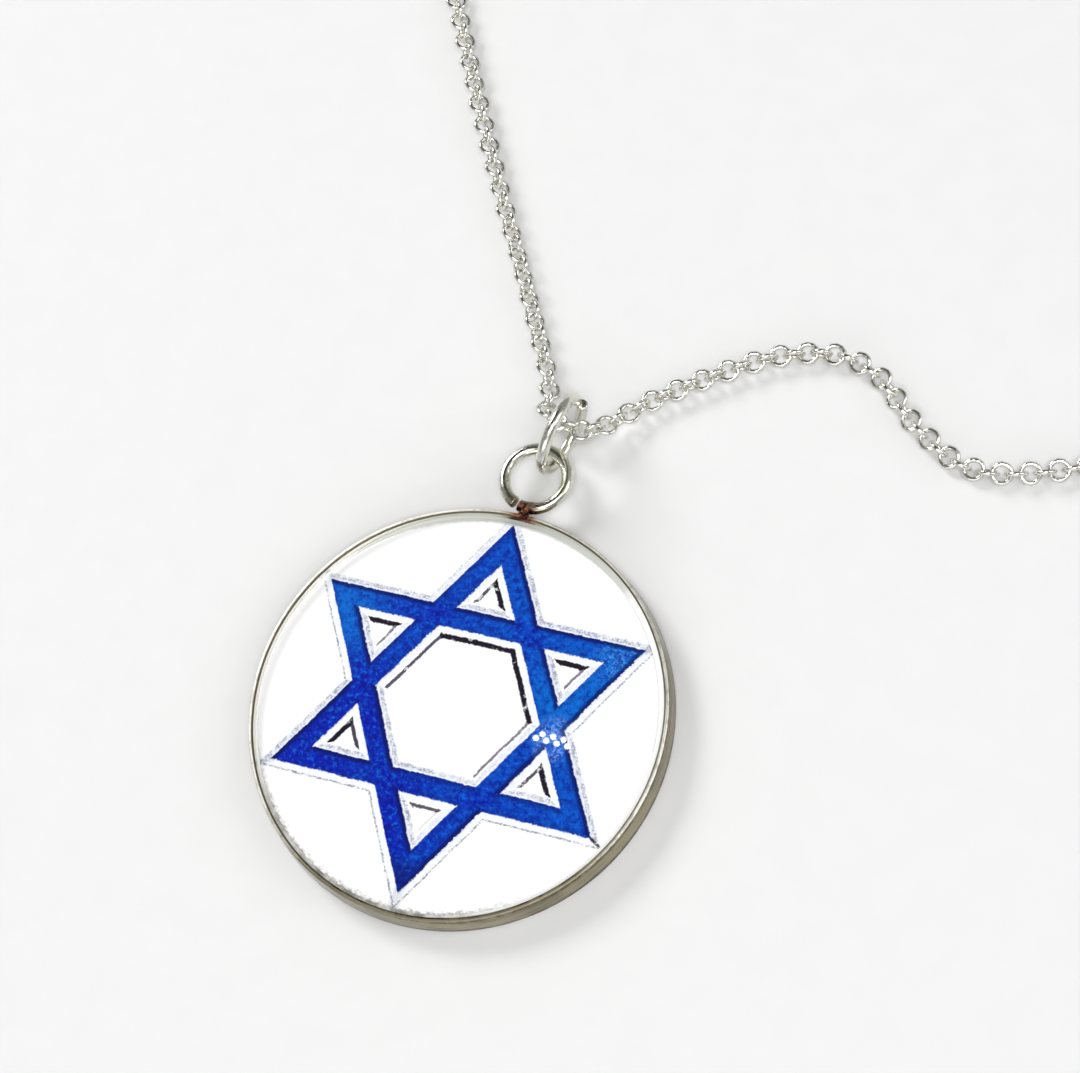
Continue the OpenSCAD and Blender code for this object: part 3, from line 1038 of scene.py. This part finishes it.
class PENDANT_OT_chain(bpy.types.Operator):
    """Lay the round-link chain along its route, through the jump ring and back to the clasp"""

    bl_idname = "pendant.chain"
    bl_label = "Chain"

    def execute(self, context):
        settings = context.scene.pendant_chain
        rng = random.Random(7)
        link = model_link(settings)
        pitch = settings.link_width - 2 * settings.link_wire - settings.play
        from_claw, from_eye = 0.70 * MM, 0.72 * MM
        spots, ahead = evenly_along(smooth_line(chain_points()), pitch, from_claw, from_eye)
        wire_r = settings.link_wire / 2
        link_r = settings.link_width / 2 - wire_r
        passes_ring = min(range(len(spots)), key=lambda i: (spots[i] - RING_AT).length)
        # The lean wanders from link to link, and changes over in this many links each side of the ring
        kept_stray, new_stray, change_over = 0.9, 0.6, 6
        stray = 0.0
        links = []
        for i, (spot, forward) in enumerate(zip(spots, ahead)):
            stray = kept_stray * stray + rng.uniform(-1, 1) * settings.drift * new_stray
            over = ease_between((i - passes_ring) / change_over, settings.lean_right, settings.lean_left)
            lean = over + max(-settings.drift, min(settings.drift, stray))
            rest = wire_r + link_r * max(abs(math.sin(lean)), abs(math.cos(lean)))
            spot.z += rest - settings.link_width / 2
            roll = lean + math.pi / 2 * (i % 2)
            side = Vector((0, 0, 1)).cross(forward).normalized()
            up = forward.cross(side)
            across = side * math.cos(roll) + up * math.sin(roll)
            hole_axis = forward.cross(across)
            copy = link.copy()
            copy.data = link.data.copy()
            context.scene.collection.objects.link(copy)
            turn = Matrix((forward, across, hole_axis)).transposed().to_4x4()
            copy.matrix_world = Matrix.Translation(spot) @ turn
            links.append(copy)
        bpy.data.objects.remove(link)
        in_claw, on_eye = (4.50 * MM, 0.20 * MM), (-4.87 * MM, -0.20 * MM)
        links.append(model_end_ring(settings.tag_ring, settings.end_wire, in_claw, 40, 10))
        links.append(model_end_ring(settings.end_ring, settings.end_wire, on_eye, 125, 4))
        chain = joined("round_link_chain", links)
        apply_place(chain)
        add_material(chain, plated_silver("chain_silver", settings.silver, 0.16))
        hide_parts("chain")
        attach(chain, "root")
        return {"FINISHED"}


def model_clasp(settings):
    """The lobster clasp: hook, thick side, gate with its tab and pin, turned neck and eye."""
    def at(x, y, z=0.0):
        return CLASP_AT + Vector((x, y, z))

    claw_r = (CLAW_D - CLAW_WIRE) / 2
    claw_x = (CLASP_L - CLAW_D) / 2
    eye_r = (EYE_D - EYE_WIRE) / 2
    eye_x = (EYE_D - CLASP_L) / 2
    neck_x = eye_x + eye_r + (NECK_D - EYE_WIRE) / 2
    past = math.radians(100)
    hook = wire_along_arc("hook", at(claw_x, 0), claw_r, CLAW_WIRE, -past, 2 * past, 20, 40)
    ease_ends(hook, 0.12 * MM)

    side_from = Vector((claw_x + claw_r * math.cos(past), claw_r * math.sin(past), 0))
    neck = Vector((neck_x, 0, 0))
    side_way = neck - side_from
    swell = settings.body / (CLAW_WIRE / 2) - 1
    shares = (0.25, 0.55, 0.8, 0.95, 1, 0.95, 0.85, 0.7, 0.55, 0.4)
    part = side_way.length / MM / len(shares)
    swollen = [(part, 1 + swell * share) for share in shares]
    side = drawn_out("thick_side", CLAW_WIRE / 2, swollen, CLASP_AT + side_from, side_way)

    gate_way = Vector((side_way.x, -side_way.y, 0))
    tip = Vector((side_from.x, -side_from.y, 0)) + gate_way.normalized() * 0.06 * MM
    widths = (1.4, 1.4, 1.45, 1.5, 1.5, 1.3)
    part = (gate_way.length / MM - 0.3) / len(widths)
    bar = [(0.1, 1.3)] + [(part, wide) for wide in widths]
    gate = drawn_out("gate", settings.gate * 0.7, bar, CLASP_AT + tip, gate_way)
    knob = [(0.35, 0.9), (0.25, 1.0), (0.15, 1.15), (0.12, 1.0), (0.06, 0.6)]
    tab = drawn_out("tab", 0.26 * MM, knob, CLASP_AT + tip.lerp(neck, 0.52), (-0.35, -1, 0), 16)
    rivet = [(0.08, 1.4), (1.1, 1.4), (0.08, 1.0)]
    pin_at = at(neck_x + 0.95 * MM, -0.36 * MM, -0.63 * MM)
    pin = drawn_out("pin", 0.16 * MM, rivet, pin_at, (0, 0, 1), 16)
    grooved = [(0.10, 1.5), (0.12, 1.9), (0.25, 2.0), (0.05, 1.85), (0.08, 1.85), (0.05, 2.0),
               (0.35, 2.0), (0.05, 1.85), (0.08, 1.85), (0.05, 2.0), (0.15, 1.9), (0.20, 1.5)]
    barrel = drawn_out("neck", NECK_D / 4, grooved, at(neck_x - 0.75 * MM, 0), (1, 0, 0), 24)
    deselect_all()
    bpy.ops.mesh.primitive_torus_add(
        major_segments=40, minor_segments=14, major_radius=eye_r, minor_radius=EYE_WIRE / 2,
        location=at(eye_x, 0),
    )
    eye = settled("eye")
    clasp = joined("lobster_clasp", [hook, side, gate, tab, pin, barrel, eye])
    uneven(clasp, 1.5 * MM, 0.02 * MM, 5)
    smooth(clasp, 40)
    return clasp


class PENDANT_OT_clasp(bpy.types.Operator):
    """Model the lobster clasp behind the neck"""

    bl_idname = "pendant.clasp"
    bl_label = "Clasp"

    def execute(self, context):
        settings = context.scene.pendant_clasp
        clasp = model_clasp(settings)
        add_material(clasp, plated_silver("clasp_silver", settings.silver, 0.18))
        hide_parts("clasp")
        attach(clasp, "root")
        return {"FINISHED"}


# Stage

CAMERA_AT = Vector((43.67, -30.73, 136.89)) * MM
CAMERA_RIGHT = Vector((0.932, 0.306, -0.1941))
CAMERA_DOWN = Vector((0.2237, -0.9073, -0.3561))
CAMERA_AHEAD = Vector((-0.285, 0.2885, -0.9141))
MIRRORED_AHEAD = Vector((CAMERA_AHEAD.x, CAMERA_AHEAD.y, -CAMERA_AHEAD.z))
CAMERA_LENS = 80.0
CAMERA_SENSOR = 36.0

# Each large lamp's place, power and size
SOFTBOXES = {
    "front_softbox": ((0.05, -0.62, 0.34), 1.3, (0.7, 0.4)),
    "right_softbox": ((0.60, 0.15, 0.42), 1.2, (0.35, 0.5)),
    "back_softbox": ((-0.56, 0.30, 0.48), 3.2, (0.28, 0.28)),
    "top_softbox": ((0.22, -0.22, 0.75), 3.0, (0.4, 0.3)),
}

# The white dots in the gloss, in millimetres on the picture's face
GLINTS = [(5.20 + 0.335 * i, 0.0 if i % 2 else -0.33) for i in range(7)]
GLOW = (6.4, -0.25)


def lamp(name, kind, location, aim, power, size=None, tint=(1, 1, 1)):
    """A lamp at a place, turned to face another."""
    deselect_all()
    bpy.ops.object.light_add(type=kind, location=location)
    light = bpy.context.object
    light.name = name
    light.rotation_euler = (Vector(aim) - Vector(location)).to_track_quat("-Z", "Y").to_euler()
    light.data.energy = power
    light.data.color = tint
    if kind == "AREA":
        light.data.shape = "RECTANGLE"
        light.data.size, light.data.size_y = size
    elif size:
        light.data.shadow_soft_size = size
    return light


def soft_room(settings):
    """The room's light: bright all round, and dim in the part that the picture's gloss mirrors."""
    room = bpy.data.worlds.new("soft_room")
    room.use_nodes = True
    nodes = room.node_tree.nodes
    ahead = nodes.new("ShaderNodeTexCoord").outputs["Generated"]
    light = blend(ease(dot(ahead, MIRRORED_AHEAD), 0.72, 0.97), settings.tent, settings.dim)
    feed(nodes["Background"].inputs["Color"], light)
    return room


def mirrored_lamp(name, kind, spot, reach, *light):
    """A lamp that far off, where the picture's gloss mirrors it to the camera at a spot."""
    spot = Vector((*spot, FACE_Z / MM)) * MM
    image = Vector((CAMERA_AT.x, CAMERA_AT.y, 2 * spot.z - CAMERA_AT.z))
    return lamp(name, kind, spot + (spot - image).normalized() * reach, spot, *light)


def glint_lamps(power):
    """A short double row of small bright lamps, and the blue glow behind them."""
    for i, spot in enumerate(GLINTS):
        mirrored_lamp(f"glint_{i}", "POINT", spot, 0.6, 0.0012 * power, 0.0009)
    size, blue = (0.017, 0.008), (0.2, 0.5, 1.0)
    glow = mirrored_lamp("glint_glow", "AREA", GLOW, 0.62, 0.0006 * power, size, blue)
    glow.data.shape = "ELLIPSE"


class PENDANT_OT_stage(bpy.types.Operator):
    """Lay the floor, hang the soft lamps and set the camera at the photographed angle"""

    bl_idname = "pendant.stage"
    bl_label = "Stage"

    def execute(self, context):
        settings = context.scene.pendant_stage
        deselect_all()
        bpy.ops.mesh.primitive_plane_add(size=6.0, location=(0, 0, 0))
        floor = context.object
        floor.name = "pale_floor"
        add_material(floor, plain_floor(settings))

        context.scene.world = soft_room(settings)
        middle = (0.0, 0.01, 0.0)
        for name, (place, power, size) in SOFTBOXES.items():
            lamp(name, "AREA", place, middle, power * settings.soft_light, size)
        glint_lamps(settings.soft_light)

        camera_data = bpy.data.cameras.new("camera")
        camera = bpy.data.objects.new("camera", camera_data)
        context.scene.collection.objects.link(camera)
        camera_data.sensor_width = CAMERA_SENSOR
        camera_data.lens = CAMERA_LENS
        camera_data.clip_start = 0.01
        camera.location = CAMERA_AT
        turn = Matrix((CAMERA_RIGHT, -CAMERA_DOWN, -CAMERA_AHEAD)).transposed()
        camera.rotation_euler = turn.to_euler()
        context.scene.camera = camera
        context.scene.view_settings.view_transform = "Standard"
        return {"FINISHED"}


class PENDANT_PT_panel(bpy.types.Panel):
    """The pendant's sizes, colours and building steps"""

    bl_idname = "PENDANT_PT_panel"
    bl_label = "Star of David Pendant"
    bl_space_type = "VIEW_3D"
    bl_region_type = "UI"
    bl_category = "Pendant"

    def draw(self, context):
        for step in STEPS:
            self.layout.operator(step.bl_idname)
        for name, group in SETTINGS.items():
            box = self.layout.box()
            box.label(text=group.__doc__)
            for size in group.__annotations__:
                box.prop(getattr(context.scene, name), size)


STEPS = (
    PENDANT_OT_tray,
    PENDANT_OT_picture,
    PENDANT_OT_jump_ring,
    PENDANT_OT_chain,
    PENDANT_OT_clasp,
    PENDANT_OT_stage,
)


def register():
    for made in (*SETTINGS.values(), *STEPS, PENDANT_PT_panel):
        bpy.utils.register_class(made)
    for name, group in SETTINGS.items():
        setattr(bpy.types.Scene, name, bpy.props.PointerProperty(type=group))


def unregister():
    for name in SETTINGS:
        delattr(bpy.types.Scene, name)
    for made in reversed((*SETTINGS.values(), *STEPS, PENDANT_PT_panel)):
        bpy.utils.unregister_class(made)


def main():
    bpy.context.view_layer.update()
    register()
    bpy.ops.pendant.tray()
    bpy.ops.pendant.picture()
    bpy.ops.pendant.jump_ring()
    bpy.ops.pendant.chain()
    bpy.ops.pendant.clasp()
    bpy.ops.pendant.stage()


if __name__ == "__main__":
    main()
